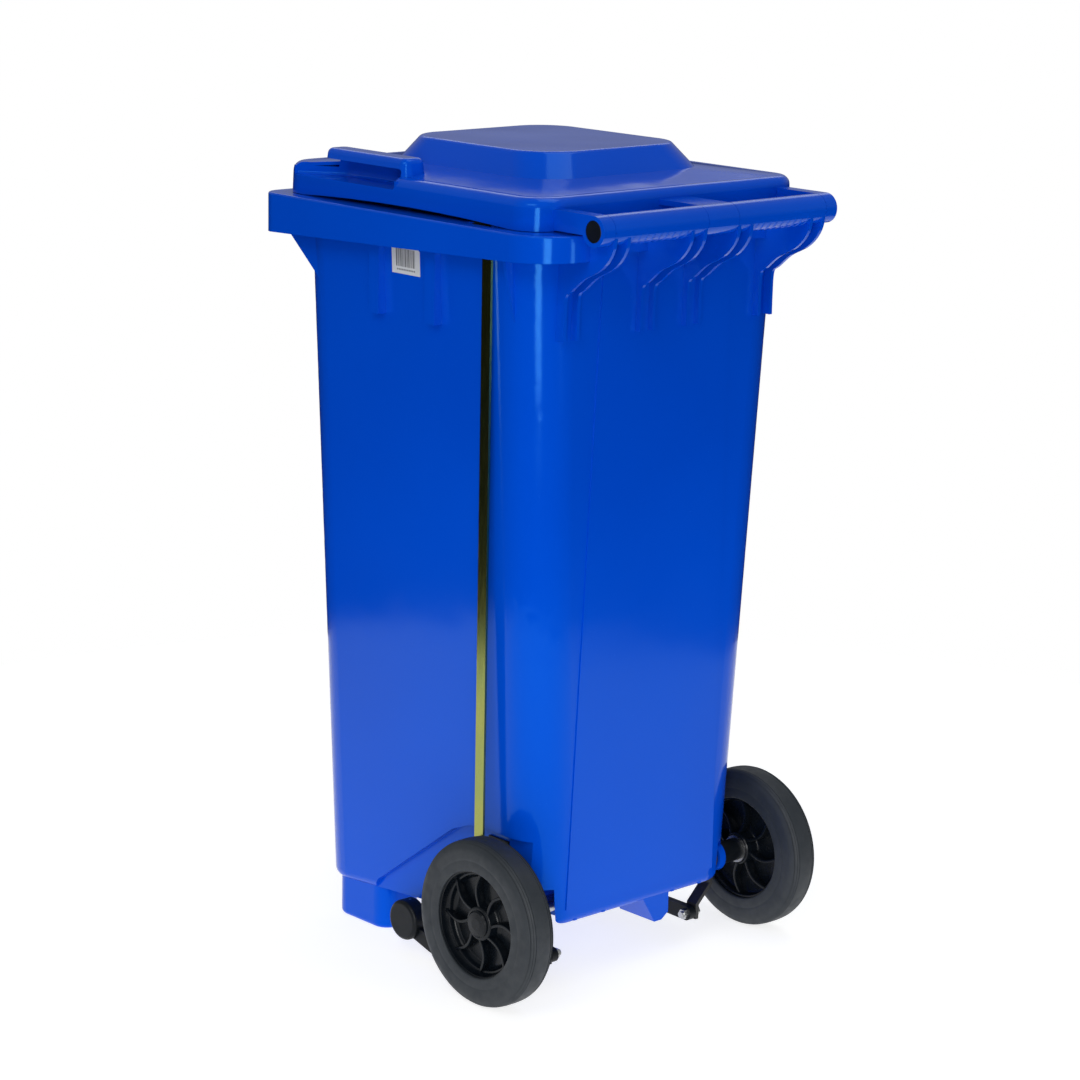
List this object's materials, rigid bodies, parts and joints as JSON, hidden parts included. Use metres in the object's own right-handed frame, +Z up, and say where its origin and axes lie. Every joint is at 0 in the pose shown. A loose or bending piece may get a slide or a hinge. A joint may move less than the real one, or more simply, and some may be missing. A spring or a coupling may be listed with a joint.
{
  "type": "two-wheeled refuse bin",
  "caption": "Two-wheeled plastic refuse bin with a hinged lid, rear grip tube, and a foot pedal whose push rod lifts the lid.",
  "frame": {"origin": "on the ground, under the middle of the overall box", "axes": "+Z up; -Y the front, with the foot pedal; +Y the rear, with the grip tube and wheels; +X the side with the push rod"},
  "size_m": [0.48, 0.5471, 0.985],
  "materials": {
    "tub_plastic": "glossy moulded polyethylene, royal blue",
    "lid_plastic": "glossy moulded polyethylene, royal blue",
    "black_plastic": "satin black plastic",
    "tyre_rubber": "matt black rubber",
    "tread_rubber": "ribbed black rubber",
    "yellow_zinc": "yellow passivated zinc plating",
    "zinc_steel": "bright zinc plating",
    "arm_steel": "black powder coat",
    "label_film": "printed white film"
  },
  "bodies": {
    "tub": {"tub": "tub_plastic", "axle": "zinc_steel", "axle_spacer_left": "black_plastic", "axle_spacer_right": "black_plastic", "axle_washers": "zinc_steel", "axle_clips": "zinc_steel", "carrier_left": "black_plastic", "carrier_right": "black_plastic", "carrier_bolts": "zinc_steel", "hanger_left": "yellow_zinc", "hanger_right": "yellow_zinc", "hanger_bolts": "zinc_steel", "hanger_nuts": "zinc_steel", "rod_guide": "black_plastic", "guide_screws": "zinc_steel", "label": "label_film"},
    "hinge_pins": {"hinge_pin_left": "black_plastic", "hinge_pin_right": "black_plastic"},
    "lid": {"lid": "lid_plastic", "lid_striker": "black_plastic", "striker_screws": "zinc_steel"},
    "wheel_right": {"tyre_right": "tyre_rubber", "hub_right": "black_plastic", "hub_cap_right": "black_plastic"},
    "wheel_left": {"tyre_left": "tyre_rubber", "hub_left": "black_plastic", "hub_cap_left": "black_plastic"},
    "pedal": {"pedal_shaft": "zinc_steel", "rod_lever": "black_plastic", "lever_pin": "zinc_steel", "pedal_arm": "arm_steel", "pedal_tread": "tread_rubber", "tread_screws": "zinc_steel", "shaft_collars": "zinc_steel", "roll_pins": "zinc_steel"},
    "rod": {"push_rod": "yellow_zinc", "rod_shoe": "yellow_zinc", "rod_rivets": "zinc_steel"}
  },
  "joints": [
    {"name": "lid_lift", "type": "hinge", "parent": "tub", "child": "hinge_pins", "pos_m": [0, 0.256, 0.9195], "axis": [-1, 0, 0], "range_deg": [0, 30]},
    {"name": "lid_swing", "type": "hinge", "parent": "hinge_pins", "child": "lid", "pos_m": [0, 0.256, 0.9195], "axis": [-1, 0, 0], "range_deg": [0, 240]},
    {"name": "pedal_press", "type": "hinge", "parent": "tub", "child": "pedal", "pos_m": [0, -0.048, 0.042], "axis": [1, 0, 0], "range_deg": [0, 32.2]},
    {"name": "rod_lift", "type": "slide", "parent": "tub", "child": "rod", "axis": [0.0205, 0.0199, 0.9996], "range_m": [0, 0.0776]},
    {"name": "wheel_right_spin", "type": "hinge", "parent": "tub", "child": "wheel_right", "pos_m": [0.2195, 0.138, 0.1], "axis": [1, 0, 0], "continuous": true},
    {"name": "wheel_left_spin", "type": "hinge", "parent": "tub", "child": "wheel_left", "pos_m": [-0.2195, 0.138, 0.1], "axis": [1, 0, 0], "continuous": true}
  ],
  "couplings": [
    {"joint": "pedal_press", "follows": "lid_lift", "ratio": 1.07},
    {"joint": "rod_lift", "follows": "lid_lift", "m_per_rad": 0.1478}
  ]
}
